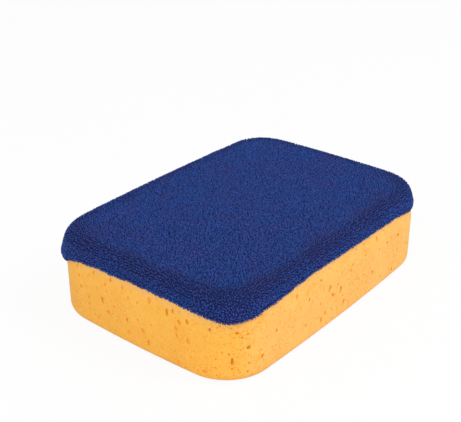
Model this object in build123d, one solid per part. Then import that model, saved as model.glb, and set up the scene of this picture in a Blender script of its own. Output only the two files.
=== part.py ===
"""Polishing sponge: a thick foam block with a pile cloth bonded over its top face.

The block is a rounded rectangle in plan. Its four sides bulge a little, its upright corners
are generous arcs and its bottom edge is a small round. Near the top the sides lean inwards
and turn over softly into the top face. The cloth lies on that face, follows the shoulder down
and ends part of the way down the sides: its edge rises in a shallow arch along each side and
hangs lower at the corners.

Units are millimetres. +Z is up, X runs along the block and Y across it. The origin is at the
middle of the bottom face, which the sponge rests on.
"""

from build123d import *
from math import hypot, isclose
import os

# Foam block
FOAM_LENGTH = 190.0  # along X, between the middles of the two end sides
FOAM_WIDTH = 136.0  # along Y, between the middles of the two long sides
FOAM_HEIGHT = 48.5
SIDE_BOW = 2.7  # how far a side bulges beyond a straight line across the block
CORNER_RADIUS = 28.0  # upright corners, seen from above
SHOULDER_DROP = 16.0  # the sides lean inwards over this height below the top face
SHOULDER_INSET = 5.0  # and by this much
SHOULDER_FOOT_RADIUS = 20.0  # where the upright side starts to lean
TOP_EDGE_RADIUS = 6.0  # where the leaning side turns over into the top face
BOTTOM_EDGE_RADIUS = 5.5

# Pile cloth
CLOTH_THICKNESS = 2.5  # knitted backing and pile together
LONG_SIDE_SKIRT = 8.0  # from the foam's top face down to the cloth's edge, mid-way along a side
END_SKIRT = 9.1  # the same at the two ends
CORNER_SKIRT = 13.0  # the same at the corners, where the cloth hangs lowest
SKIRT_END = 10.0  # the arch along a side ends this far short of the end of the block
SKIRT_BLEND_RADIUS = 40.0  # eases the arch into the level stretch round a corner

TRIM_MARGIN = 10.0  # how far the trimming tools run past what they cut


def bow_radius(span, bow):
    """Radius of the arc that rises by bow over a straight line of length span."""
    return (span**2 / 4 + bow**2) / (2 * bow)


def plan_outline(grow=0.0):
    """The block's outline from above, moved outwards all round by grow."""
    long_side = bow_radius(FOAM_LENGTH, SIDE_BOW)
    end_side = bow_radius(FOAM_WIDTH, SIDE_BOW)
    across = FOAM_WIDTH / 2 - long_side
    along = FOAM_LENGTH / 2 - end_side
    discs = [
        Pos(0, across) * Circle(long_side + grow),
        Pos(0, -across) * Circle(long_side + grow),
        Pos(along, 0) * Circle(end_side + grow),
        Pos(-along, 0) * Circle(end_side + grow),
    ]
    outline = discs[0] & discs[1] & discs[2] & discs[3]
    return fillet(outline.vertices(), CORNER_RADIUS + grow)


def shoulder_size(grow):
    """Drop and inset of the leaning part of the side, once the block is larger by grow."""
    slant = hypot(SHOULDER_DROP, SHOULDER_INSET)
    drop = SHOULDER_DROP + grow * (1 - (slant - SHOULDER_DROP) / SHOULDER_INSET)
    inset = SHOULDER_INSET + grow * (1 - (slant - SHOULDER_INSET) / SHOULDER_DROP)
    return drop, inset


def shouldered_block(grow=0.0):
    """The block, larger by grow at the sides and top, with its soft shoulder."""
    drop, inset = shoulder_size(grow)
    height = FOAM_HEIGHT + grow
    block = extrude(plan_outline(grow), amount=height)
    top = block.faces().sort_by(Axis.Z)[-1]
    block = chamfer(top.edges(), length=inset, length2=drop, reference=top)
    foot_edges = block.edges().filter_by_position(Axis.Z, height - drop, height - drop)
    block = fillet(foot_edges, SHOULDER_FOOT_RADIUS + grow)
    top_edges = block.edges().group_by(Axis.Z)[-1]
    return fillet(top_edges, TOP_EDGE_RADIUS + grow)


def foam_block():
    block = shouldered_block()
    bottom_edges = block.edges().group_by(Axis.Z)[0]
    return fillet(bottom_edges, BOTTOM_EDGE_RADIUS)


def below_skirt(plane, skirt, length, width):
    """Everything below the cloth's edge on the two sides of the given length.

    The edge is drawn on plane, with the side along its X, and swept both ways across width.
    Mid-way along the side it is skirt below the foam's top face.
    """
    level = FOAM_HEIGHT - CORNER_SKIRT
    crest = FOAM_HEIGHT - skirt
    arch_end = length / 2 - SKIRT_END
    side_end = length / 2 + CLOTH_THICKNESS + TRIM_MARGIN
    arch = ThreePointArc((-arch_end, level), (0, crest), (arch_end, level))
    rest = Polyline(
        (arch_end, level),
        (side_end, level),
        (side_end, -TRIM_MARGIN),
        (-side_end, -TRIM_MARGIN),
        (-side_end, level),
        (-arch_end, level),
    )
    profile = make_face(arch + rest)
    springings = [v for v in profile.vertices() if isclose(abs(v.X), arch_end)]
    profile = fillet(springings, SKIRT_BLEND_RADIUS)
    reach = width / 2 + CLOTH_THICKNESS + TRIM_MARGIN
    return extrude(plane * profile, amount=reach, both=True)


def pile_cloth(foam):
    cap = shouldered_block(grow=CLOTH_THICKNESS) - foam
    cap -= below_skirt(Plane.XZ, LONG_SIDE_SKIRT, FOAM_LENGTH, FOAM_WIDTH)
    return cap - below_skirt(Plane.YZ, END_SKIRT, FOAM_WIDTH, FOAM_LENGTH)


def main():
    os.makedirs("parts", exist_ok=True)
    foam = foam_block()
    cloth = pile_cloth(foam)
    export_step(foam, "parts/foam_block.step")
    export_step(cloth, "parts/pile_cloth.step")
    for name, piece in (("foam_block", foam), ("pile_cloth", cloth)):
        size = piece.bounding_box().size
        print(f"{name}: {size.X:.1f} x {size.Y:.1f} x {size.Z:.1f} mm, {piece.volume / 1000:.1f} ml")


main()
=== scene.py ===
"""Looks of the polishing sponge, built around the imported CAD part.

The foam block is one closed mesh with real pores. The cloth is a closed sheet of knitted
backing, and its pile is thousands of small closed loops that stand on it. Lengths are in
metres, and MM turns millimetres into metres.
"""

from math import atan2, cos, hypot, pi, radians, sin, sqrt, tan
from typing import NamedTuple

import bmesh
import bpy
import numpy as np
from mathutils import Matrix, Vector
from mathutils.geometry import delaunay_2d_cdt


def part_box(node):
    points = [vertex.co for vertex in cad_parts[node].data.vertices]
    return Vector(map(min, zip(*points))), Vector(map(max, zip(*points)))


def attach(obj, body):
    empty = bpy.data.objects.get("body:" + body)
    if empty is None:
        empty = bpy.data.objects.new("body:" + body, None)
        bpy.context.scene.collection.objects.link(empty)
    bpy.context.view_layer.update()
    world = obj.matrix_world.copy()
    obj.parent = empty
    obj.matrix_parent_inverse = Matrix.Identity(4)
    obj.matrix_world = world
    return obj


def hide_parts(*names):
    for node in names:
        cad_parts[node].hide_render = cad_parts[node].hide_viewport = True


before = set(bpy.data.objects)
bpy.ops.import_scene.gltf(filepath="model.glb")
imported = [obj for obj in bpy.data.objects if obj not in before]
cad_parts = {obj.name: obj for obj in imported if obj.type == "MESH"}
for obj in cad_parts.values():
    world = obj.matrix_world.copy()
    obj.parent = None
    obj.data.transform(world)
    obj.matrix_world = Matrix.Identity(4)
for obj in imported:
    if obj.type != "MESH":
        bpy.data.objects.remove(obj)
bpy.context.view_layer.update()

MM = 0.001

# Block, as in the CAD part
foam_low, foam_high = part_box("foam_block")
LENGTH = foam_high.x - foam_low.x
WIDTH = foam_high.y - foam_low.y
HEIGHT = foam_high.z
SIDE_BOW = 2.7 * MM
CORNER_RADIUS = 28 * MM
SHOULDER_DROP = 16 * MM
SHOULDER_INSET = 5 * MM
SHOULDER_FOOT_RADIUS = 20 * MM
TOP_EDGE_RADIUS = 6 * MM
BOTTOM_EDGE_RADIUS = 5.5 * MM

# Cloth edge, with the CAD part's sizes. Its arch is a little fuller than the CAD's arc.
LONG_SIDE_SKIRT = 8 * MM  # from the foam's top face down to the cloth's edge, mid-way along a side
END_SKIRT = 9.1 * MM  # the same at the two ends
CORNER_SKIRT = 13 * MM  # the same at the corners
SKIRT_END = 10 * MM  # the arch along a side ends this far short of the end of the block
ARCH_POWER = 3  # the CAD's arc is close to 2

# Where the cloth's edge strays from the CAD part's
LOW_CORNER_HANG = 3.2 * MM  # how much lower the cloth hangs at one corner
LOW_CORNER_FACING = radians(145)  # the way that corner faces, from +X
LOW_CORNER_SPREAD = radians(18)
EDGE_WAVES = ((0.3 * MM, 2.7 * MM, 5), (0.4 * MM, 14 * MM, 6))  # height, size and seed of each

# Backing: the knitted cloth that the pile stands on
GLUE_GAP = 0.05 * MM  # between the foam and the backing
BACKING_THICKNESS = 1.4 * MM
CORNER_PUFF = 1.45 * MM  # how much thicker the cloth is where it is gathered round a corner
CORNER_PUFF_RAMP = 9 * MM  # from the flat top's edge to where that is reached
PUFF_SLOPE = 0.65 * MM  # added to CORNER_PUFF at the -X corners, and taken off it at the +X ones
BEND_PUFF = 0.7 * MM  # how much thicker the cloth is where it bends over the foam's top edge
BEND_PUFF_REACH = 3 * MM  # how far that reaches either way from the middle of the bend
HEM_ROLL = 2.4 * MM  # the cloth rounds off over this distance before its edge
HEM_THINNING = 0.85  # at the very edge the backing's thickness is sqrt(1 - this) of the whole

# Bend: the band where the cloth turns over the foam's top edge and its knit shows
BEND_MIDDLE = 2.8 * MM  # measured outwards from the flat top's edge
BEND_OUTWARDS = 3.4 * MM  # how far the band reaches from there
BEND_INWARDS = 5.5 * MM

# Pile: small loops of strand, close together
LOOP_PITCH = 1.02 * MM  # from one loop of the pile to the next
LOOP_SPAN = 0.52 * MM  # between a loop's two feet
LOOP_HEIGHT = 1.1 * MM
LOOP_RADIUS = 0.33 * MM  # of the strand that makes the loop
LOOP_ROOT = 0.3 * MM  # how deep a loop's feet are sunk into the backing
LOOP_LEAN = 0.3 * MM  # how far a loop's top usually leans
LOOP_STEPS = 4  # rings along a loop
LOOP_SIDES = 3
LOOSE_ROWS = 0.21  # how far loops usually stray, as a share of LOOP_PITCH
NEATER_AT_BEND = 0.09  # what that share loses where the knit shows most
RIM_ROWS = ((0.2 * MM, 0.8 * MM), (0.85 * MM, 0.5 * MM))  # from the edge, and how far the loops lean out
RIM_PITCH = 0.8 * MM

# Meshes
FOAM_GRID = 1.3 * MM
HIDDEN_GRID = 5 * MM  # the foam's top, which the cloth covers
BACKING_GRID = 1.6 * MM
GRID_JITTER = 0.2  # how far a grid's points are moved, as a share of its step
BORDER_ROOM = 0.6  # what a grid's points keep clear of a border, as a share of its step
WELD_DISTANCE = 2e-6


# -------------------------------- outline and profile

def bow_radius(span):
    """Radius of the arc that bulges by SIDE_BOW over a side of length span."""
    return (span**2 / 4 + SIDE_BOW**2) / (2 * SIDE_BOW)


class Outline:
    """The block's outline from above: four bowed sides joined by corner arcs.

    A place on it is given by the direction that it faces, an angle from +X, or by the
    distance along it from the middle of the +X end.
    """

    def __init__(self):
        self.end_radius = bow_radius(WIDTH)
        self.long_radius = bow_radius(LENGTH)
        self.end_x = LENGTH / 2 - self.end_radius
        self.long_y = WIDTH / 2 - self.long_radius
        self.corner = self.corner_centre()
        self.corner_from = atan2(self.corner.y, self.corner.x - self.end_x)
        self.corner_to = atan2(self.corner.y - self.long_y, self.corner.x)
        turns = [self.corner_from, self.corner_to - self.corner_from, pi / 2 - self.corner_to]
        radii = [self.end_radius, CORNER_RADIUS, self.long_radius]
        quarter = list(zip(turns, radii))
        whole = (quarter + quarter[::-1]) * 2
        self.angles = np.cumsum([0] + [turn for turn, _ in whole])
        self.lengths = np.cumsum([0] + [turn * radius for turn, radius in whole])
        self.around = self.lengths[-1]
        facing_camera = 1.25 * pi  # the middle of the (-X, -Y) corner
        self.near_corner = np.interp(facing_camera, self.angles, self.lengths)

    def corner_centre(self):
        """Centre of the first quadrant's corner arc, which is tangent to both sides."""
        from_end = self.end_radius - CORNER_RADIUS
        from_long = self.long_radius - CORNER_RADIUS
        apart = hypot(self.end_x, self.long_y)
        along = (apart**2 + from_end**2 - from_long**2) / (2 * apart)
        off = sqrt(from_end**2 - along**2)
        to_long = Vector((-self.end_x, self.long_y)) / apart
        to_corner = Vector((-to_long.y, to_long.x))
        corner = Vector((self.end_x, 0)) + to_long * along
        above = corner + to_corner * off
        below = corner - to_corner * off
        return above if above.y > below.y else below

    def facing(self, along):
        return np.interp(np.mod(along, self.around), self.lengths, self.angles)

    def point(self, facing):
        c, s = np.cos(facing), np.sin(facing)
        turn = np.arctan2(np.abs(s), np.abs(c))
        on_end = turn < self.corner_from
        on_long = turn > self.corner_to
        x = np.select([on_end, on_long], [self.end_x, 0.0], self.corner.x)
        y = np.select([on_end, on_long], [0.0, self.long_y], self.corner.y)
        radius = np.select([on_end, on_long], [self.end_radius, self.long_radius], CORNER_RADIUS)
        return np.stack([np.sign(c) * x, np.sign(s) * y], -1) + radius[..., None] * np.stack([c, s], -1)

    def nearest(self, points):
        """How far outside the outline each point is, and the way its nearest place faces."""
        x, y = np.abs(points[..., 0]), np.abs(points[..., 1])
        at_corner = np.arctan2(y - self.corner.y, x - self.corner.x)
        from_end = np.hypot(x - self.end_x, y) - self.end_radius
        from_long = np.hypot(x, y - self.long_y) - self.long_radius
        from_corner = np.hypot(x - self.corner.x, y - self.corner.y) - CORNER_RADIUS
        on_corner = (at_corner > self.corner_from) & (at_corner < self.corner_to)
        on_end = from_end > from_long
        away = np.where(on_corner, from_corner, np.maximum(from_end, from_long))
        at_end = np.arctan2(y, x - self.end_x)
        at_long = np.arctan2(y - self.long_y, x)
        turn = np.where(on_corner, at_corner, np.where(on_end, at_end, at_long))
        c = np.cos(turn) * np.where(points[..., 0] < 0, -1, 1)
        s = np.sin(turn) * np.where(points[..., 1] < 0, -1, 1)
        return away, np.arctan2(s, c)


class Profile:
    """The block's section, from the edge of the flat underside up to the edge of the flat top."""

    STEPS = 4000

    def __init__(self):
        lean = atan2(SHOULDER_INSET, SHOULDER_DROP)
        foot_run = SHOULDER_FOOT_RADIUS * tan(lean / 2)
        top_turn = pi / 2 - lean
        top_run = TOP_EDGE_RADIUS * tan(top_turn / 2)
        wall = HEIGHT - BOTTOM_EDGE_RADIUS - SHOULDER_DROP - foot_run
        slope = hypot(SHOULDER_DROP, SHOULDER_INSET) - foot_run - top_run
        turns = [pi / 2, 0, lean, 0, top_turn]
        bottom_arc = BOTTOM_EDGE_RADIUS * pi / 2
        steps = [bottom_arc, wall, SHOULDER_FOOT_RADIUS * lean, slope, TOP_EDGE_RADIUS * top_turn]
        lengths = np.cumsum([0] + steps)
        facings = np.cumsum([-pi / 2] + turns)
        self.length = lengths[-1]
        self.at = np.linspace(0, self.length, self.STEPS + 1)
        self.faces = np.interp(self.at, lengths, facings)
        middle = (self.faces[1:] + self.faces[:-1]) / 2
        step = self.length / self.STEPS
        self.out = np.concatenate([[0], np.cumsum(-np.sin(middle)) * step]) - BOTTOM_EDGE_RADIUS
        self.up = np.concatenate([[0], np.cumsum(np.cos(middle)) * step])

    def place(self, at):
        """How far out, how high and facing how far up the section is, at a distance along it."""
        out = np.interp(at, self.at, self.out)
        up = np.interp(at, self.at, self.up)
        return out, up, np.interp(at, self.at, self.faces)

    def at_height(self, height):
        return np.interp(height, self.up, self.at)


outline = Outline()
profile = Profile()
FLAT_INSET = -profile.out[-1]  # from the outline in to the edge of the flat top


def on_side(along, at, lift=0.0):
    """Points on the block's sides, lifted off the surface, and which way the surface faces there."""
    facing = outline.facing(along)
    out, up, faces = profile.place(at)
    return lifted(outline.point(facing), facing, out, up, faces, lift)


def outwards(facing):
    """Level directions that face those ways."""
    return np.stack([np.cos(facing), np.sin(facing)], -1)


def lifted(edge, facing, out, up, faces, lift):
    """Points out and up from the outline's edge, moved by lift the way that they face."""
    level = outwards(facing)
    normal = np.concatenate([level * np.cos(faces)[..., None], np.sin(faces)[..., None]], -1)
    flat = edge + level * out[..., None]
    points = np.concatenate([flat, up[..., None]], -1)
    return points + normal * np.asarray(lift)[..., None], normal


def on_cloth(spread, lift=0.0):
    """Points above the foam where the cloth lies, from where they are on the spread-out cloth."""
    away, facing = outline.nearest(spread)
    past_flat = away + FLAT_INSET
    out, up, faces = profile.place(profile.length - np.maximum(past_flat, 0))
    points, normal = lifted(outline.point(facing), facing, out, up, faces, lift)
    is_flat = (past_flat <= 0)[..., None]
    height = np.broadcast_to(HEIGHT + np.asarray(lift), past_flat.shape)
    above = np.concatenate([spread, height[..., None]], -1)
    return np.where(is_flat, above, points), np.where(is_flat, (0.0, 0.0, 1.0), normal)


# -------------------------------- noise

def hashed(cells, seed):
    """A number from 0 to 1 for each whole-numbered cell."""
    cells = cells.astype(np.int64)
    mixed = cells[..., 0] * 73856093 ^ cells[..., 1] * 19349663 ^ cells[..., 2] * 83492791
    mixed = (mixed ^ seed * 2654435761) & 0xFFFFFFFF
    mixed = ((mixed ^ mixed >> 15) * 2246822519) & 0xFFFFFFFF
    mixed = ((mixed ^ mixed >> 13) * 3266489917) & 0xFFFFFFFF
    return (mixed ^ mixed >> 16) / 0xFFFFFFFF


def smooth_noise(points, size, seed):
    """Soft noise from -1 to 1, with lumps of about that size."""
    scaled = points / size
    cell = np.floor(scaled)
    part = scaled - cell
    part = part * part * (3 - 2 * part)
    total = 0.0
    for corner in np.ndindex(2, 2, 2):
        weight = np.prod(np.where(corner, part, 1 - part), -1)
        total = total + weight * hashed(cell + corner, seed)
    return 2 * total - 1


def layered_noise(points, layers):
    """Soft noise added up from layers, each with a height, a lump size and a seed."""
    return sum(height * smooth_noise(points, size, seed) for height, size, seed in layers)


def smooth_step(value):
    """An eased rise from 0 to 1 as value goes from 0 to 1."""
    value = np.clip(value, 0, 1)
    return value * value * (3 - 2 * value)


# -------------------------------- mesh helpers

def triangulated(points, border_count):
    """Triangles between flat points, inside the border that the first border_count points make."""
    border = [(i, (i + 1) % border_count) for i in range(border_count)]
    inside_only = 1
    closeness = 1e-9
    made = delaunay_2d_cdt([Vector(p) for p in points], border, [], inside_only, closeness)
    triangles, sources = made[2], made[3]
    source = np.array([came_from[0] for came_from in sources])
    return source[np.array(triangles)]


def new_mesh_object(name, points, faces):
    """A smooth-shaded object. faces is a list of arrays, each with one face to a row."""
    mesh = bpy.data.meshes.new(name)
    mesh.vertices.add(len(points))
    mesh.vertices.foreach_set("co", np.asarray(points, np.float32).ravel())
    sizes = np.concatenate([np.full(len(f), f.shape[1]) for f in faces])
    corners = np.concatenate([f.ravel() for f in faces])
    mesh.loops.add(len(corners))
    mesh.loops.foreach_set("vertex_index", corners.astype(np.int32))
    mesh.polygons.add(len(sizes))
    mesh.polygons.foreach_set("loop_start", (np.cumsum(sizes) - sizes).astype(np.int32))
    mesh.update(calc_edges=True)
    mesh.polygons.foreach_set("use_smooth", np.full(len(sizes), True))
    obj = bpy.data.objects.new(name, mesh)
    bpy.context.scene.collection.objects.link(obj)
    return obj


def add_bake_map(obj, corner_places):
    """A bake map named OFBake, with one place for each face corner."""
    layer = obj.data.uv_layers.new(name="OFBake")
    layer.data.foreach_set("uv", np.asarray(corner_places, np.float32).ravel())


def set_attribute(obj, name, values):
    """Stores a number for each point, for the material."""
    attribute = obj.data.attributes.new(name, "FLOAT", "POINT")
    attribute.data.foreach_set("value", np.asarray(values, np.float32).ravel())


def weld(obj):
    """Joins points that lie on each other, and turns the faces outwards."""
    mesh = bmesh.new()
    mesh.from_mesh(obj.data)
    bmesh.ops.remove_doubles(mesh, verts=mesh.verts, dist=WELD_DISTANCE)
    bmesh.ops.recalc_face_normals(mesh, faces=mesh.faces)
    mesh.to_mesh(obj.data)
    mesh.free()


def spread_grid(low, high, step, rng):
    """Points in staggered rows over a rectangle, each moved a little."""
    rows = np.arange(low[1], high[1], step * sqrt(3) / 2)
    columns = np.arange(low[0], high[0], step)
    x, y = np.meshgrid(columns, rows)
    x = x + (np.arange(len(rows)) % 2)[:, None] * step / 2
    points = np.stack([x, y], -1).reshape(-1, 2)
    return points + rng.uniform(-GRID_JITTER, GRID_JITTER, points.shape) * step


# -------------------------------- foam

PORE_RINGS = (  # share of the pore's radius, share of its depth
    (1.25, 0.0),
    (1.02, 0.06),
    (0.9, 0.42),
    (0.74, 0.78),
    (0.45, 0.97),
)
SMALL_PORE = 0.55 * MM  # a pore whose longer half is no more than this has every other ring only
PORE_ROOM = 1.3  # what a pore keeps clear around its middle, as a share of its longer half
PORE_STEP = 0.42 * MM  # between the points of a pore's ring
PORE_FEWEST = 7  # points in a ring

# The pores that stand out around the (-X, -Y) corner: distance from the middle of
# that corner, height, half width, half height and depth, in millimetres.
MAIN_PORES = (
    (-103, 35, 0.6, 1.2, 0.6),
    (-101, 30, 0.9, 1.0, 0.9),
    (-100, 23.5, 0.9, 1.1, 0.9),
    (-94, 11.5, 0.6, 0.9, 0.5),
    (-94, 15, 0.7, 1.2, 0.5),
    (-94, 19, 0.9, 1.5, 0.6),
    (-90, 35.5, 0.8, 1.2, 0.6),
    (-87, 9, 0.8, 1.0, 0.6),
    (-87, 27.5, 0.5, 0.8, 0.5),
    (-80.5, 32, 0.6, 1.1, 0.8),
    (-79.5, 28, 0.6, 1.0, 0.5),
    (-79, 16, 0.8, 1.2, 1.4),
    (-77, 36, 0.8, 1.2, 1.2),
    (-74.5, 21, 0.6, 0.8, 0.7),
    (-68, 35, 0.7, 1.1, 0.7),
    (-65, 17, 0.6, 1.4, 1.6),
    (-64, 10, 1.1, 1.1, 0.5),
    (-63.5, 30.5, 0.8, 1.2, 0.5),
    (-57, 20, 0.6, 0.8, 0.6),
    (-57, 30.5, 0.5, 0.8, 0.6),
    (-53.5, 15, 1.0, 1.6, 1.1),
    (-50, 9, 0.7, 1.8, 0.9),
    (-49, 34.5, 1.2, 1.8, 0.7),
    (-37, 32.5, 0.8, 1.8, 2.0),
    (-33.5, 34.5, 0.55, 1.2, 1.2),
    (-31, 25.5, 1.1, 1.6, 1.0),
    (-30.5, 21.5, 0.7, 1.4, 0.7),
    (-30, 5.5, 0.7, 1.5, 0.7),
    (-29, 30, 1.0, 1.4, 1.4),
    (-24, 32, 0.9, 1.3, 1.8),
    (-23.5, 21, 0.9, 1.8, 0.9),
    (-14, 6.5, 1.4, 1.0, 0.8),
    (-11, 31.5, 0.5, 1.1, 1.6),
    (-6, 34, 0.4, 0.5, 1.0),
    (-1.5, 18, 0.5, 0.6, 1.0),
    (0, 13.5, 0.7, 2.0, 2.0),
    (0, 9.5, 0.6, 0.6, 0.8),
    (2.5, 30, 0.9, 1.0, 1.6),
    (5, 27, 0.5, 0.6, 1.0),
    (8, 6.5, 0.7, 0.8, 0.8),
    (8, 28.5, 0.7, 0.7, 0.7),
    (8.5, 11.5, 0.6, 0.7, 0.7),
    (8.5, 20.5, 1.0, 1.25, 2.2),
    (27, 22.5, 0.8, 1.1, 1.0),
    (44, 34, 1.0, 1.6, 0.8),
    (52, 13, 0.6, 1.0, 0.8),
    (54.5, 27.5, 0.5, 1.1, 1.0),
    (66, 9.5, 1.2, 1.6, 0.9),
    (73, 25.5, 1.2, 2.0, 0.9),
    (81, 24.5, 0.8, 0.9, 0.6),
    (84, 20, 1.0, 2.4, 1.0),
    (87.5, 10.5, 0.9, 1.6, 0.8),
    (108, 18, 0.5, 1.1, 0.8),
    (108, 30.5, 0.6, 0.7, 0.6),
    (108, 33.5, 0.5, 0.7, 0.6),
    (108, 37, 0.6, 1.0, 0.6),
    (117.5, 15.5, 0.9, 1.1, 1.0),
    (121.5, 35, 1.1, 1.8, 0.7),
    (127.5, 8, 0.8, 0.8, 0.7),
)


class PoreKind(NamedTuple):
    """A kind of random pore."""

    count: int
    halves: tuple  # least and most half width
    stretch: float  # the most that a pore is taller than it is wide
    grouped: float = 0.0  # share of the pores that are moved close to another
    group_reach: float = 0.0  # how far from it they usually lie


SIDE_LARGE = PoreKind(260, (0.5 * MM, 1.1 * MM), 2.1, grouped=0.6, group_reach=4.5 * MM)
SIDE_SMALL = PoreKind(1100, (0.22 * MM, 0.42 * MM), 1.6, grouped=0.4, group_reach=6 * MM)
CORNER_FINE = PoreKind(260, (0.2 * MM, 0.42 * MM), 1.7)
UNDERSIDE_LARGE = PoreKind(300, (0.5 * MM, 1.3 * MM), 1.3, grouped=0.6, group_reach=4.5 * MM)
UNDERSIDE_SMALL = PoreKind(900, (0.24 * MM, 0.5 * MM), 1.2, grouped=0.3, group_reach=5 * MM)
CORNER_FINE_FROM = -14 * MM  # where the fine pores begin, from the middle of the (-X, -Y) corner
CORNER_FINE_WIDTH = 34 * MM
MAIN_REACH = 130 * MM  # the main pores lie within this of that corner's middle
LARGE_AMONG_MAIN = 0.15  # share of the large random pores that stay there
SIDE_LOW_ROOM = 2 * MM  # what side pores keep clear of the flat underside
SIDE_HIGH_ROOM = 9 * MM  # and of the flat top

FOAM_SWELLS = ((0.22 * MM, 34 * MM, 1), (0.07 * MM, 6 * MM, 2))  # height, size and seed of each
SWELL_FADE = 6 * MM  # the swells fade out over this height, at the underside and at the top
CLOTH_SHADE = 6.5 * MM  # how far below its edge the cloth casts a painted shadow, tinted with blue bounce light, on the foam's colour


def main_pores(rng):
    """The pores that stand out, in the same form as the random ones."""
    rows = []
    for along, height, across, tall, depth in np.array(MAIN_PORES) * MM:
        tilt = rng.normal(0, 0.08)
        rows.append((outline.near_corner + along, profile.at_height(height), across, tall, tilt, depth))
    return np.array(rows)


def random_pores(rng, width, height, kind):
    """Pores over a rectangle, as rows of middle x, middle y, half width, half height, tilt and depth."""
    count = kind.count
    least, most = kind.halves
    mostly_small = 2.2
    across = least + (most - least) * rng.random(count) ** mostly_small
    tall = across * rng.uniform(1, kind.stretch, count)
    x = rng.uniform(0, width, count)
    y = rng.uniform(0, height, count)
    tilt = rng.normal(0, 0.3, count)
    depth = across * rng.uniform(0.7, 1.9, count)
    pores = np.stack([x, y, across, tall, tilt, depth], -1)
    return grouped(pores, rng, kind) if kind.grouped else pores


def grouped(pores, rng, kind):
    """Moves a share of the pores close to others, so that they come in groups."""
    count = len(pores)
    follows = rng.random(count) < kind.grouped
    leader = rng.integers(0, count, count)
    shift = rng.normal(0, kind.group_reach, (count, 2))
    moved = pores.copy()
    moved[follows, :2] = pores[leader[follows], :2] + shift[follows]
    return moved


def pore_room(pore):
    """How far around its middle a pore keeps clear."""
    return PORE_ROOM * max(pore[2], pore[3])


def without_overlaps(pores, fits):
    """Keeps the pores that fit and that don't meet one kept before."""
    kept = []
    cell = 8 * MM  # wider than any two pores' room together
    neighbours = [(i, j) for i in (-1, 0, 1) for j in (-1, 0, 1)]
    bins = {}
    for pore in pores:
        room = pore_room(pore)
        if not fits(pore, room):
            continue
        column, row = int(pore[0] // cell), int(pore[1] // cell)
        near = [other for i, j in neighbours for other in bins.get((column + i, row + j), [])]
        if any(hypot(pore[0] - other[0], pore[1] - other[1]) < room + pore_room(other) for other in near):
            continue
        kept.append(pore)
        bins.setdefault((column, row), []).append(pore)
    return kept


def pore_points(pore, rng):
    """Flat points of a pore's rings and middle, and how deep each lies."""
    x, y, across, tall, tilt, depth = pore
    count = max(PORE_FEWEST, round(2 * pi * max(across, tall) / PORE_STEP))
    angle = np.arange(count) / count * 2 * pi
    wobble = 1 + 0.10 * np.sin(2 * angle + rng.uniform(0, 6)) + 0.07 * np.sin(3 * angle + rng.uniform(0, 6))
    flat = np.stack([np.cos(angle) * across, np.sin(angle) * tall], -1) * wobble[:, None]
    turn = np.array([[cos(tilt), sin(tilt)], [-sin(tilt), cos(tilt)]])
    shares = PORE_RINGS if max(across, tall) > SMALL_PORE else PORE_RINGS[::2]
    rings = [flat @ turn * out for out, _ in shares]
    depths = [np.full(count, depth * down) for _, down in shares]
    points = np.concatenate(rings + [np.zeros((1, 2))]) + (x, y)
    return points, np.concatenate(depths + [[depth]])


class Patch(NamedTuple):
    """One patch of the foam's surface. Its spots are its points laid flat."""

    points: np.ndarray
    normals: np.ndarray
    depth: np.ndarray  # how far each point is sunk into a pore
    triangles: np.ndarray
    spots: np.ndarray


def flat_mesh(border, pores, low, high, step, rng, inside=None):
    """Flat points of one patch of foam with its pores, how deep each lies, and the triangles."""
    grid = spread_grid(low, high, step, rng)
    keep = np.ones(len(grid), bool)
    if inside is not None:
        keep &= inside(grid)
    parts, depths = [border], [np.zeros(len(border))]
    for pore in pores:
        points, depth = pore_points(pore, rng)
        parts.append(points)
        depths.append(depth)
        clear = pore_room(pore) + 0.3 * step
        keep &= np.hypot(grid[:, 0] - pore[0], grid[:, 1] - pore[1]) > clear
    parts.append(grid[keep])
    depths.append(np.zeros(keep.sum()))
    points = np.concatenate(parts)
    return points, np.concatenate(depths), triangulated(points, len(border))


def side_patch(rng, ring):
    """The foam's sides, from the flat underside to the flat top, cut at the middle of the +X end."""
    around, tall = outline.around, profile.length
    levels = np.linspace(0, tall, round(tall / FOAM_GRID) + 1)
    bottom = np.stack([ring, np.zeros_like(ring)], -1)
    right = np.stack([np.full_like(levels, around), levels], -1)
    top = np.stack([ring[::-1], np.full_like(ring, tall)], -1)
    left = np.stack([np.zeros_like(levels), levels[::-1]], -1)
    border = np.concatenate([bottom, right[1:], top[1:], left[1:-1]])

    def fits(pore, room):
        in_length = room + FOAM_GRID < pore[0] < around - room - FOAM_GRID
        return in_length and room + SIDE_LOW_ROOM < pore[1] < tall - room - SIDE_HIGH_ROOM

    large = random_pores(rng, around, tall, SIDE_LARGE)
    among_main = np.abs(large[:, 0] - outline.near_corner) < MAIN_REACH
    large = large[~among_main | (rng.random(len(large)) < LARGE_AMONG_MAIN)]
    small = random_pores(rng, around, tall, SIDE_SMALL)
    fine = random_pores(rng, CORNER_FINE_WIDTH, tall, CORNER_FINE)
    fine[:, 0] += outline.near_corner + CORNER_FINE_FROM
    pores = without_overlaps(np.concatenate([main_pores(rng), large, small, fine]), fits)
    margin = BORDER_ROOM * FOAM_GRID
    low, high = (margin, margin), (around - margin, tall - margin)
    spots, depth, triangles = flat_mesh(border, pores, low, high, FOAM_GRID, rng)
    points, normals = on_side(spots[:, 0], spots[:, 1], -depth)
    return Patch(points, normals, depth, triangles, spots)


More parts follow.
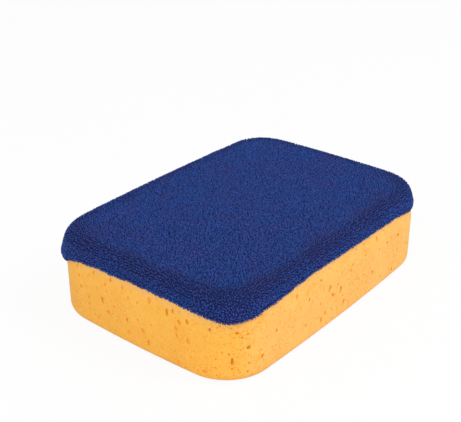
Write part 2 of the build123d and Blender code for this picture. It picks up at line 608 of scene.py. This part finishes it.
def flat_patch(rng, ring, inset, height, face, step, pores_wanted):
    """The flat underside or top, out to the ring that it shares with the sides."""
    facing = outline.facing(ring[:-1])
    border = outline.point(facing) - outwards(facing) * inset
    half = np.array([LENGTH / 2, WIDTH / 2])

    def inside(points):
        return outline.nearest(points)[0] < -inset - BORDER_ROOM * step

    def fits(pore, room):
        return outline.nearest(pore[None, :2])[0][0] < -inset - room - FOAM_GRID

    pores = []
    if pores_wanted:
        kinds = (UNDERSIDE_LARGE, UNDERSIDE_SMALL)
        all_over = np.concatenate([random_pores(rng, LENGTH, WIDTH, kind) for kind in kinds])
        all_over[:, :2] -= half
        pores = without_overlaps(all_over, fits)
    spots, depth, triangles = flat_mesh(border, pores, -half, half, step, rng, inside)
    normals = np.tile((0.0, 0.0, face), (len(spots), 1))
    points = np.concatenate([spots, np.full((len(spots), 1), height)], -1)
    return Patch(points - normals * depth[:, None], normals, depth, triangles, spots)


def foam_map(patches):
    """Where each patch's points lie in the bake map: the sides below, underside and top above."""
    low, high = 0.01, 0.48
    wide = high - low
    sides, *flats = patches
    share = sides.spots / (outline.around, profile.length)
    maps = [(low, low) + share * (1 - 2 * low, wide)]
    for column, flat in enumerate(flats):
        share = flat.spots / (LENGTH, WIDTH) + 0.5
        maps.append((low + 0.5 * column, 0.5 + low) + share * wide)
    return np.concatenate(maps)


def build_foam():
    rng = np.random.default_rng(11)
    ring = np.linspace(0, outline.around, round(outline.around / FOAM_GRID) + 1)
    patches = [
        side_patch(rng, ring),
        flat_patch(rng, ring, BOTTOM_EDGE_RADIUS, 0.0, -1.0, FOAM_GRID, True),
        flat_patch(rng, ring, FLAT_INSET, HEIGHT, 1.0, HIDDEN_GRID, False),
    ]
    starts = np.cumsum([0] + [len(patch.points) for patch in patches])
    points = np.concatenate([patch.points for patch in patches])
    normals = np.concatenate([patch.normals for patch in patches])
    depth = np.concatenate([patch.depth for patch in patches])
    triangles = np.concatenate([patch.triangles + start for patch, start in zip(patches, starts)])
    swell = layered_noise(points, FOAM_SWELLS)
    height = points[:, 2]
    on_wall = np.clip(height / SWELL_FADE, 0, 1) * np.clip((HEIGHT - height) / SWELL_FADE, 0, 1)
    points = points + normals * (swell * on_wall)[:, None]
    foam = new_mesh_object("foam_block_porous", points, [triangles])
    add_bake_map(foam, foam_map(patches)[triangles])
    # How deep each point lies in a pore, which the material uses for painted shade in the pores
    set_attribute(foam, "pore_depth", depth / MM)
    # How much the surface faces the long sides, where the material paints a sheen that makes them paler
    set_attribute(foam, "long_side", np.clip(normals[:, 1], -1, 1) ** 2)
    # Painted shadow of the cloth on the foam, strongest just below the cloth's edge
    facing = outline.nearest(points[:, :2])[1]
    below_cloth = edge_height(outline.point(facing)) - points[:, 2]
    set_attribute(foam, "painted_cloth_shadow", 1 - smooth_step(below_cloth / CLOTH_SHADE))
    weld(foam)
    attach(foam, "root")
    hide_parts("foam_block")
    return foam


# -------------------------------- cloth

def edge_height(points):
    """Height of the cloth's edge beside those points of the outline."""
    def rise(place, length, skirt):
        share = np.clip(np.abs(place) / (length / 2 - SKIRT_END), 0, 1)
        return (CORNER_SKIRT - skirt) * (1 - share**ARCH_POWER)

    arches = rise(points[..., 0], LENGTH, LONG_SIDE_SKIRT) + rise(points[..., 1], WIDTH, END_SKIRT)
    return HEIGHT - CORNER_SKIRT + arches


def skirt_reach(facing):
    """How far past the flat top the cloth runs, along the foam, to its edge."""
    edge = outline.point(facing)
    level_edge = np.concatenate([edge, np.zeros(edge.shape[:-1] + (1,))], -1)
    wave = layered_noise(level_edge, EDGE_WAVES)
    from_low_corner = np.mod(facing, 2 * pi) - LOW_CORNER_FACING
    hang = LOW_CORNER_HANG * np.exp(-((from_low_corner / LOW_CORNER_SPREAD) ** 2))
    return profile.length - profile.at_height(edge_height(edge)) + wave + hang


def cloth_section(spread):
    """The backing's thickness at places on the spread-out cloth, and how full the pile is there.

    The cloth is thicker where it is gathered round a corner and where it bends over the foam's
    top edge, and it rounds off at its own edge.
    """
    away, facing = outline.nearest(spread)
    past_flat = away + FLAT_INSET
    at_corner = np.sin(2 * facing) ** 2 * smooth_step(past_flat / CORNER_PUFF_RAMP)
    puff = at_corner * (CORNER_PUFF - PUFF_SLOPE * spread[..., 0] / (LENGTH / 2))
    puff = puff + BEND_PUFF * np.exp(-(((past_flat - BEND_MIDDLE) / BEND_PUFF_REACH) ** 2))
    from_edge = skirt_reach(facing) - past_flat
    rolled = np.clip(1 - from_edge / (HEM_ROLL + puff), 0, 1)
    fullness = np.sqrt(1 - HEM_THINNING * rolled**2)
    return (BACKING_THICKNESS + puff) * fullness, fullness


def backing_map(spread, triangles, border_count):
    """The backing's bake map: its outer face above, its inner face below and its rim between them."""
    low, tall = 0.01, 0.46
    half = np.abs(spread).max(0)
    flat = low + (spread / half + 1) / 2 * (1 - 2 * low, tall)
    inner = flat[triangles[:, ::-1]]
    outer = flat[triangles] + (0, 1 - tall - 2 * low)
    step = np.arange(border_count)
    here, after = low + (1 - 2 * low) * np.stack([step, step + 1]) / border_count
    above, below = np.full(border_count, 0.51), np.full(border_count, 0.49)
    rim = [(here, above), (here, below), (after, below), (after, above)]
    rim = np.stack([np.stack(corner, -1) for corner in rim], 1)
    return np.concatenate([outer.reshape(-1, 2), inner.reshape(-1, 2), rim.reshape(-1, 2)])


def build_backing():
    """The knitted backing, a closed thin sheet, and its points on the spread-out cloth."""
    rng = np.random.default_rng(23)
    ring = np.arange(0, outline.around, BACKING_GRID)
    facing = outline.facing(ring)
    reach = skirt_reach(facing) - FLAT_INSET
    border = outline.point(facing) + outwards(facing) * reach[:, None]
    high = np.abs(border).max(0)
    grid = spread_grid(-high, high, BACKING_GRID, rng)
    away, faces = outline.nearest(grid)
    grid = grid[away < skirt_reach(faces) - FLAT_INSET - BORDER_ROOM * BACKING_GRID]
    spread = np.concatenate([border, grid])
    triangles = triangulated(spread, len(border))
    thickness = cloth_section(spread)[0]
    outer = on_cloth(spread, GLUE_GAP + thickness)[0]
    inner = on_cloth(spread, GLUE_GAP)[0]
    count = len(spread)
    first = np.arange(len(border))
    after = np.roll(first, -1)
    rim = np.stack([first, first + count, after + count, after], -1)
    faces = [triangles, triangles[:, ::-1] + count, rim]
    backing = new_mesh_object("pile_cloth_backing", np.concatenate([outer, inner]), faces)
    add_bake_map(backing, backing_map(spread, triangles, len(border)))
    weld(backing)
    return backing, spread


def bend_share(spots, past_flat):
    """How much the knit shows: most where the cloth bends over the foam's top edge."""
    flat = np.concatenate([spots, np.zeros((len(spots), 1))], -1)
    patchy = 0.6 + 0.45 * smooth_noise(flat, 12 * MM, 8) + 0.3 * smooth_noise(flat, 5 * MM, 9)
    from_middle = past_flat - BEND_MIDDLE
    wide = BEND_INWARDS * (1 + 0.5 * smooth_noise(flat, 22 * MM, 12))
    shape = np.exp(-((from_middle / np.where(from_middle > 0, BEND_OUTWARDS, wide)) ** 2))
    return np.clip(1.3 * shape * patchy, 0, 1)


def field_loops(rng):
    """Loops in the knit's rows and columns. They line up in rows along the edges at the bend."""
    past_edge = 12 * MM  # beyond the furthest that the spread-out cloth runs
    reach = np.array([LENGTH, WIDTH]) / 2 + past_edge
    rows = np.arange(-reach[1], reach[1], LOOP_PITCH)
    columns = np.arange(-reach[0], reach[0], LOOP_PITCH)
    x, y = np.meshgrid(columns, rows)
    spots = np.stack([x, y], -1).reshape(-1, 2)
    away, facing = outline.nearest(spots)
    bend = bend_share(spots, away + FLAT_INSET)
    loose = LOOP_PITCH * (LOOSE_ROWS - NEATER_AT_BEND * bend)
    spots = spots + rng.normal(0, 1, spots.shape) * loose[:, None]
    inside = away + FLAT_INSET < skirt_reach(facing) - RIM_ROWS[-1][0] - 0.5 * LOOP_PITCH
    spots, facing, bend = spots[inside], facing[inside], bend[inside]
    count = len(spots)
    in_row = rng.random(count) < bend
    turn = np.where(in_row, facing - pi / 2 + rng.normal(0, 0.25, count), rng.uniform(0, 2 * pi, count))
    return spots, turn, rng.normal(0, LOOP_LEAN, count), bend


def rim_loops(rng, from_edge, lean):
    """A row of loops along the cloth's edge, leaning out over it."""
    along = np.arange(0, outline.around, RIM_PITCH)
    along = along + rng.normal(0, 0.2, len(along)) * RIM_PITCH
    facing = outline.facing(along)
    out = skirt_reach(facing) - FLAT_INSET - from_edge
    spots = outline.point(facing) + outwards(facing) * out[:, None]
    count = len(spots)
    turn = facing - pi / 2 + rng.normal(0, 0.5, count)
    return spots, turn, lean * rng.uniform(0.5, 1.4, count), np.zeros(count)


def loop_layout():
    """Where each loop stands on the spread-out cloth, and its direction, size and tone."""
    rng = np.random.default_rng(37)
    rows = [field_loops(rng)]
    rows += [rim_loops(rng, from_edge, lean) for from_edge, lean in RIM_ROWS]
    spots, turn, lean, bend = (np.concatenate(column) for column in zip(*rows))
    count = len(spots)
    thickness, fullness = cloth_section(spots)
    skirt_from, skirt_ramp = 5 * MM, 4 * MM
    on_skirt = smooth_step((outline.nearest(spots)[0] + FLAT_INSET - skirt_from) / skirt_ramp)
    standing = (0.25 + 0.75 * fullness) * (1 - 0.08 * bend)
    stoutness = (1 - 0.15 * bend) * (1 + 0.08 * on_skirt)
    return {
        "spots": spots,
        "turn": turn,
        "lean": lean,
        "bend": bend,
        "base": GLUE_GAP + thickness - LOOP_ROOT,
        "span": LOOP_SPAN * rng.uniform(0.75, 1.25, count),
        "height": LOOP_HEIGHT * rng.uniform(0.88, 1.1, count) * standing,
        "radius": LOOP_RADIUS * rng.uniform(0.85, 1.15, count) * stoutness,
        "tone": rng.random(count),
    }


def loop_mesh(layout):
    """Points of every loop, as loops by rings by sides by 3, and how near its top each ring is."""
    arc = np.linspace(0, pi, LOOP_STEPS)
    along = outwards(layout["turn"])
    across = np.stack([-along[:, 1], along[:, 0]], -1)
    swing = np.cos(arc)[None, :, None] * along[:, None] * (layout["span"] / 2)[:, None, None]
    tilt = np.sin(arc)[None, :, None] * across[:, None] * layout["lean"][:, None, None]
    lift = layout["base"][:, None] + np.sin(arc) * layout["height"][:, None]
    middle, normal = on_cloth(layout["spots"][:, None] + swing + tilt, lift)
    run = np.gradient(middle, axis=1)
    run /= np.linalg.norm(run, axis=-1, keepdims=True)
    chord = middle[:, -1] - middle[:, 0]
    beside = np.cross(normal[:, LOOP_STEPS // 2], chord)[:, None]
    beside = beside / np.linalg.norm(beside, axis=-1, keepdims=True)
    over = np.cross(beside, run)
    beside = np.cross(run, over)
    turn = np.arange(LOOP_SIDES) / LOOP_SIDES * 2 * pi
    thick = layout["radius"][:, None] * (0.75 + 0.25 * np.sin(arc))
    ring = beside[:, :, None] * np.cos(turn)[:, None] + over[:, :, None] * np.sin(turn)[:, None]
    return middle[:, :, None] + ring * thick[:, :, None, None], np.sin(arc)


def loop_faces(count):
    """Quads along each loop, and a cap at each foot."""
    start = np.arange(count)[:, None] * LOOP_STEPS * LOOP_SIDES
    step, side = np.meshgrid(np.arange(LOOP_STEPS - 1), np.arange(LOOP_SIDES), indexing="ij")
    here = (step * LOOP_SIDES + side).ravel()
    beside = (step * LOOP_SIDES + (side + 1) % LOOP_SIDES).ravel()
    quad = np.stack([here, beside, beside + LOOP_SIDES, here + LOOP_SIDES], -1)
    quads = (start[:, :, None] + quad).reshape(-1, 4)
    cap = np.arange(LOOP_SIDES)
    last = (LOOP_STEPS - 1) * LOOP_SIDES
    caps = np.concatenate([start + cap[::-1], start + last + cap])
    return [quads, caps]


def loop_map(count):
    """The pile's bake map: each loop is unrolled in a cell of its own."""
    step, side = np.meshgrid(np.arange(LOOP_STEPS - 1), np.arange(LOOP_SIDES), indexing="ij")
    step, side = step.ravel(), side.ravel()
    corners = [(step, side), (step, side + 1), (step + 1, side + 1), (step + 1, side)]
    quads = np.stack([np.stack(corner, -1) for corner in corners], 1) / (LOOP_STEPS - 1, LOOP_SIDES)
    quads = 0.14 + 0.72 * quads.reshape(-1, 2)
    turn = np.arange(LOOP_SIDES) / LOOP_SIDES * 2 * pi
    cap = 0.05 * np.stack([np.cos(turn), np.sin(turn)], -1)
    columns = int(np.ceil(sqrt(count)))
    cell = np.stack([np.arange(count) % columns, np.arange(count) // columns], -1)[:, None]
    parts = [quads, cap + (0.07, 0.5), cap + (0.93, 0.5)]
    return np.concatenate([((cell + part) / columns).reshape(-1, 2) for part in parts])


def build_pile():
    """The pile, as one piece for each quarter of the cloth."""
    layout = loop_layout()
    pieces = []
    quarters = {"front_left": (-1, -1), "front_right": (1, -1), "back_left": (-1, 1), "back_right": (1, 1)}
    for name, side in quarters.items():
        mine = ((layout["spots"] > 0) == (np.array(side) > 0)).all(-1)
        part = {key: values[mine] for key, values in layout.items()}
        points, top = loop_mesh(part)
        pile = new_mesh_object(f"pile_{name}", points.reshape(-1, 3), loop_faces(len(points)))
        add_bake_map(pile, loop_map(len(points)))
        # How near its top each ring is, which the material uses for painted shade at the loops' feet
        set_attribute(pile, "tip", np.broadcast_to(top[None, :, None], points.shape[:-1]))
        for key in ("tone", "bend"):
            set_attribute(pile, key, np.broadcast_to(part[key][:, None, None], points.shape[:-1]))
        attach(pile, "root")
        pieces.append(pile)
    return pieces


def build_cloth():
    backing, spread = build_backing()
    pile = build_pile()
    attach(backing, "root")
    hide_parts("pile_cloth")
    corner = CORNER_RADIUS + skirt_reach(np.array([pi / 4]))[0] - FLAT_INSET
    return backing, pile


# -------------------------------- materials

def new_material(name):
    material = bpy.data.materials.new(name)
    material.use_nodes = True
    return material, material.node_tree.nodes, material.node_tree.links


def add(nodes, kind, **settings):
    node = nodes.new(kind)
    for name, value in settings.items():
        setattr(node, name, value)
    return node


def ramp(nodes, links, source, stops):
    """A colour ramp over source, from (position, colour) stops."""
    node = nodes.new("ShaderNodeValToRGB")
    elements = node.color_ramp.elements
    while len(elements) < len(stops):
        elements.new(1)
    for element, (position, colour) in zip(elements, stops):
        element.position = position
        element.color = (*colour, 1)
    links.new(source, node.inputs["Fac"])
    return node.outputs["Color"]


def mixed(nodes, links, kind, share, first, second):
    """first mixed with second. share is a number or a socket, and so are the colours."""
    node = add(nodes, "ShaderNodeMix", data_type="RGBA", blend_type=kind)
    for socket, value in ((node.inputs[0], share), (node.inputs[6], first), (node.inputs[7], second)):
        if isinstance(value, bpy.types.NodeSocket):
            links.new(value, socket)
        elif isinstance(value, tuple):
            socket.default_value = (*value, 1)
        else:
            socket.default_value = value
    return node.outputs[2]


def grey(value):
    return (value,) * 3


def attribute(nodes, name):
    """What set_attribute stored under that name."""
    return add(nodes, "ShaderNodeAttribute", attribute_name=name).outputs["Fac"]


def add_bump(nodes, links, height, distance, strength):
    """Makes the material's surface look bumpy where height goes up and down."""
    bump = nodes.new("ShaderNodeBump")
    bump.inputs["Distance"].default_value = distance
    bump.inputs["Strength"].default_value = strength
    links.new(height, bump.inputs["Height"])
    links.new(bump.outputs["Normal"], nodes["Principled BSDF"].inputs["Normal"])


def noise(nodes, links, place, size, detail=2.0, roughness=0.5):
    """Noise with lumps of about that size."""
    node = nodes.new("ShaderNodeTexNoise")
    node.inputs["Scale"].default_value = 1 / size
    node.inputs["Detail"].default_value = detail
    node.inputs["Roughness"].default_value = roughness
    links.new(place, node.inputs["Vector"])
    return node.outputs["Fac"]


def pile_material():
    material, nodes, links = new_material("pile")
    shader = nodes["Principled BSDF"]
    place = nodes.new("ShaderNodeTexCoord").outputs["Object"]
    tone = attribute(nodes, "tone")
    strand = ramp(nodes, links, tone, [(0.0, (0.013, 0.046, 0.23)), (1.0, (0.033, 0.092, 0.4))])
    patches = noise(nodes, links, place, 14 * MM)
    cast = ramp(nodes, links, patches, [(0.35, (0.72, 1.0, 1.05)), (0.65, (1.25, 0.88, 0.96))])
    tinted = mixed(nodes, links, "MULTIPLY", 1.0, strand, cast)
    # Painted shade: loops where the cloth bends over the foam's top edge are painted darker and more
    # purple, standing in for the shade where the pile opens there
    shade_at_bend = mixed(nodes, links, "MULTIPLY", attribute(nodes, "bend"), tinted, (1.15, 0.8, 0.83))
    # Painted shade: the loops are painted darker towards their feet, where shade falls between them
    depth = ramp(nodes, links, attribute(nodes, "tip"), [(0.0, (0.28, 0.26, 0.3)), (0.8, grey(1))])
    links.new(mixed(nodes, links, "MULTIPLY", 1.0, shade_at_bend, depth), shader.inputs["Base Color"])
    shader.inputs["Roughness"].default_value = 0.85
    shader.inputs["Specular IOR Level"].default_value = 0.2
    shader.inputs["Sheen Weight"].default_value = 0.18
    shader.inputs["Sheen Roughness"].default_value = 0.4
    shader.inputs["Sheen Tint"].default_value = (0.4, 0.55, 1, 1)
    return material


def backing_material():
    material, nodes, links = new_material("knitted_backing")
    shader = nodes["Principled BSDF"]
    place = nodes.new("ShaderNodeTexCoord").outputs["Object"]
    knit = noise(nodes, links, place, 0.7 * MM)
    # The knit's colour, painted far darker than the strands: partly the cloth's own navy, partly painted
    # shade at the foot of the pile
    colour = ramp(nodes, links, knit, [(0.3, (0.009, 0.012, 0.06)), (0.7, (0.018, 0.025, 0.12))])
    links.new(colour, shader.inputs["Base Color"])
    add_bump(nodes, links, knit, 0.3 * MM, 1.0)
    shader.inputs["Roughness"].default_value = 0.95
    shader.inputs["Specular IOR Level"].default_value = 0.1
    return material


def foam_material():
    material, nodes, links = new_material("open_cell_foam")
    shader = nodes["Principled BSDF"]
    place = nodes.new("ShaderNodeTexCoord").outputs["Object"]
    cloud = noise(nodes, links, place, 11 * MM, 3.0)
    deep = ramp(nodes, links, cloud, [(0.3, (0.89, 0.435, 0.05)), (0.7, (0.92, 0.475, 0.07))])
    # Painted sheen: the long sides are painted in the paler colour, standing in for the light that glances
    # off them
    pale = ramp(nodes, links, cloud, [(0.3, (0.89, 0.47, 0.095)), (0.7, (0.92, 0.51, 0.12))])
    painted_sheen_share = ramp(nodes, links, attribute(nodes, "long_side"), [(0.55, grey(0)), (0.95, grey(1))])
    plain = mixed(nodes, links, "MIX", painted_sheen_share, deep, pale)
    # Painted shadow: just below the cloth the foam is painted a duller, bluer peach, standing in for the
    # cloth's shadow and the blue light it bounces
    shaded = ramp(nodes, links, attribute(nodes, "painted_cloth_shadow"), [(0.0, grey(0)), (1.0, grey(0.75))])
    plain = mixed(nodes, links, "MIX", shaded, plain, (0.86, 0.48, 0.15))
    stretch = add(nodes, "ShaderNodeMapping")
    stretch.inputs["Scale"].default_value = (1, 1, 0.45)
    links.new(place, stretch.inputs["Vector"])
    blotch = noise(nodes, links, stretch.outputs["Vector"], 1.9 * MM, 1.0)
    soft_spots = ramp(nodes, links, blotch, [(0.58, grey(0)), (0.7, grey(0.75))])
    plain = mixed(nodes, links, "MIX", soft_spots, plain, (0.9, 0.41, 0.035))
    speckle = noise(nodes, links, place, 0.75 * MM, 2.0, 0.7)
    cells = ramp(nodes, links, speckle, [(0.33, (0.88, 0.66, 0.34)), (0.5, grey(1))])
    areas = noise(nodes, links, place, 24 * MM, 1.0)
    where = ramp(nodes, links, areas, [(0.38, grey(0.25)), (0.6, grey(1))])
    surface = mixed(nodes, links, "MULTIPLY", where, plain, cells)
    # Painted shade: the foam is painted darker and a deeper orange inside the pores, standing in for the
    # shade and the light bounced about in them
    depth = attribute(nodes, "pore_depth")
    painted_pore_shade = ramp(nodes, links, depth, [(0.02, grey(0)), (0.35, grey(1))])
    pore = ramp(nodes, links, depth, [(0.5, (0.87, 0.34, 0.03)), (1.0, (0.84, 0.41, 0.05))])
    links.new(mixed(nodes, links, "MIX", painted_pore_shade, surface, pore), shader.inputs["Base Color"])
    fine = noise(nodes, links, place, 0.8 * MM, 4.0, 0.6)
    add_bump(nodes, links, fine, 0.25 * MM, 0.5)
    shader.inputs["Roughness"].default_value = 0.8
    shader.inputs["Specular IOR Level"].default_value = 0.3
    shader.inputs["Sheen Weight"].default_value = 0.1
    return material


# -------------------------------- stage, light and camera

FLOOR_SIZE = 6.0  # from the middle to each edge
FLOOR_GAP = 0.02 * MM  # below the sponge
FLOOR_GLOW = 0.93  # the share that is its own white, and the rest takes shadow
SKY_STRENGTH = 0.62
CAMERA_AZIMUTH = radians(-50.97)
CAMERA_ELEVATION = radians(26.42)
CAMERA_DISTANCE = 540 * MM
CAMERA_AIM = (-9.5 * MM, 17.5 * MM)  # right and up of CAMERA_AIM_HEIGHT on the block's axis
CAMERA_AIM_HEIGHT = 25 * MM
CAMERA_LENS = 72.3  # millimetres, on the usual 36 mm sensor


def camera_share(nodes, links):
    """1 where the camera sees a thing itself, in a mirror or through glass."""
    path = nodes.new("ShaderNodeLightPath")
    total = path.outputs["Is Camera Ray"]
    for name in ("Is Glossy Ray", "Is Transmission Ray"):
        either = add(nodes, "ShaderNodeMath", operation="MAXIMUM")
        links.new(total, either.inputs[0])
        links.new(path.outputs[name], either.inputs[1])
        total = either.outputs[0]
    return total


def build_floor():
    """A wide pale floor. What the camera sees of it is mostly its own white."""
    corners = np.array([(-1, -1, 0), (1, -1, 0), (1, 1, 0), (-1, 1, 0)]) * FLOOR_SIZE
    floor = new_mesh_object("floor", corners, [np.array([[0, 1, 2, 3]])])
    floor.location.z = foam_low.z - FLOOR_GAP
    material, nodes, links = new_material("floor")
    shader = nodes["Principled BSDF"]
    shader.inputs["Base Color"].default_value = (0.86, 0.86, 0.86, 1)
    shader.inputs["Roughness"].default_value = 0.9
    shader.inputs["Specular IOR Level"].default_value = 0.0
    glow = nodes.new("ShaderNodeEmission")
    seen = add(nodes, "ShaderNodeMath", operation="MULTIPLY")
    links.new(camera_share(nodes, links), seen.inputs[0])
    seen.inputs[1].default_value = FLOOR_GLOW
    both = nodes.new("ShaderNodeMixShader")
    links.new(seen.outputs[0], both.inputs["Fac"])
    links.new(shader.outputs["BSDF"], both.inputs[1])
    links.new(glow.outputs["Emission"], both.inputs[2])
    links.new(both.outputs["Shader"], nodes["Material Output"].inputs["Surface"])
    floor.data.materials.append(material)


def build_world():
    """Soft light from all round, on a background that the camera sees as plain white."""
    world = bpy.data.worlds.new("studio")
    world.use_nodes = True
    nodes, links = world.node_tree.nodes, world.node_tree.links
    sky = nodes["Background"]
    sky.inputs["Color"].default_value = (1, 1, 1, 1)
    sky.inputs["Strength"].default_value = SKY_STRENGTH
    white = nodes.new("ShaderNodeBackground")
    white.inputs["Color"].default_value = (1, 1, 1, 1)
    white.inputs["Strength"].default_value = 1
    both = nodes.new("ShaderNodeMixShader")
    links.new(camera_share(nodes, links), both.inputs["Fac"])
    links.new(sky.outputs["Background"], both.inputs[1])
    links.new(white.outputs["Background"], both.inputs[2])
    links.new(both.outputs["Shader"], nodes["World Output"].inputs["Surface"])
    bpy.context.scene.world = world


def aimed(location, target):
    """A matrix at location that looks at target along its own -Z."""
    turn = (Vector(target) - Vector(location)).to_track_quat("-Z", "Y")
    return Matrix.Translation(location) @ turn.to_matrix().to_4x4()


def build_lamp(name, location, size, watts):
    """A round lamp that shines on the middle of the block."""
    light = bpy.data.lights.new(name, "AREA")
    light.shape = "DISK"
    light.size = size
    light.energy = watts
    lamp = bpy.data.objects.new(name, light)
    bpy.context.scene.collection.objects.link(lamp)
    lamp.matrix_world = aimed(location, (0, 0, HEIGHT / 2))


def build_camera():
    back = Vector((
        sin(CAMERA_AZIMUTH) * cos(CAMERA_ELEVATION),
        -cos(CAMERA_AZIMUTH) * cos(CAMERA_ELEVATION),
        sin(CAMERA_ELEVATION),
    ))
    right = Vector((cos(CAMERA_AZIMUTH), sin(CAMERA_AZIMUTH), 0))
    up = back.cross(right)
    aim = Vector((0, 0, CAMERA_AIM_HEIGHT)) + right * CAMERA_AIM[0] + up * CAMERA_AIM[1]
    camera = bpy.data.objects.new("camera", bpy.data.cameras.new("camera"))
    camera.data.lens = CAMERA_LENS
    camera.data.clip_start = 0.01
    camera.data.clip_end = 30
    camera.matrix_world = aimed(aim + back * CAMERA_DISTANCE, aim)
    bpy.context.scene.collection.objects.link(camera)
    bpy.context.scene.camera = camera


def main():
    foam = build_foam()
    backing, pile = build_cloth()
    foam.data.materials.append(foam_material())
    backing.data.materials.append(backing_material())
    strand = pile_material()
    for piece in pile:
        piece.data.materials.append(strand)
    build_floor()
    build_world()
    build_lamp("key", location=(0.4, -0.9, 1.1), size=0.7, watts=8.5)
    build_lamp("fill", location=(-1.1, -0.4, 0.7), size=0.9, watts=6.5)
    build_camera()
    bpy.context.scene.view_settings.view_transform = "Standard"


main()
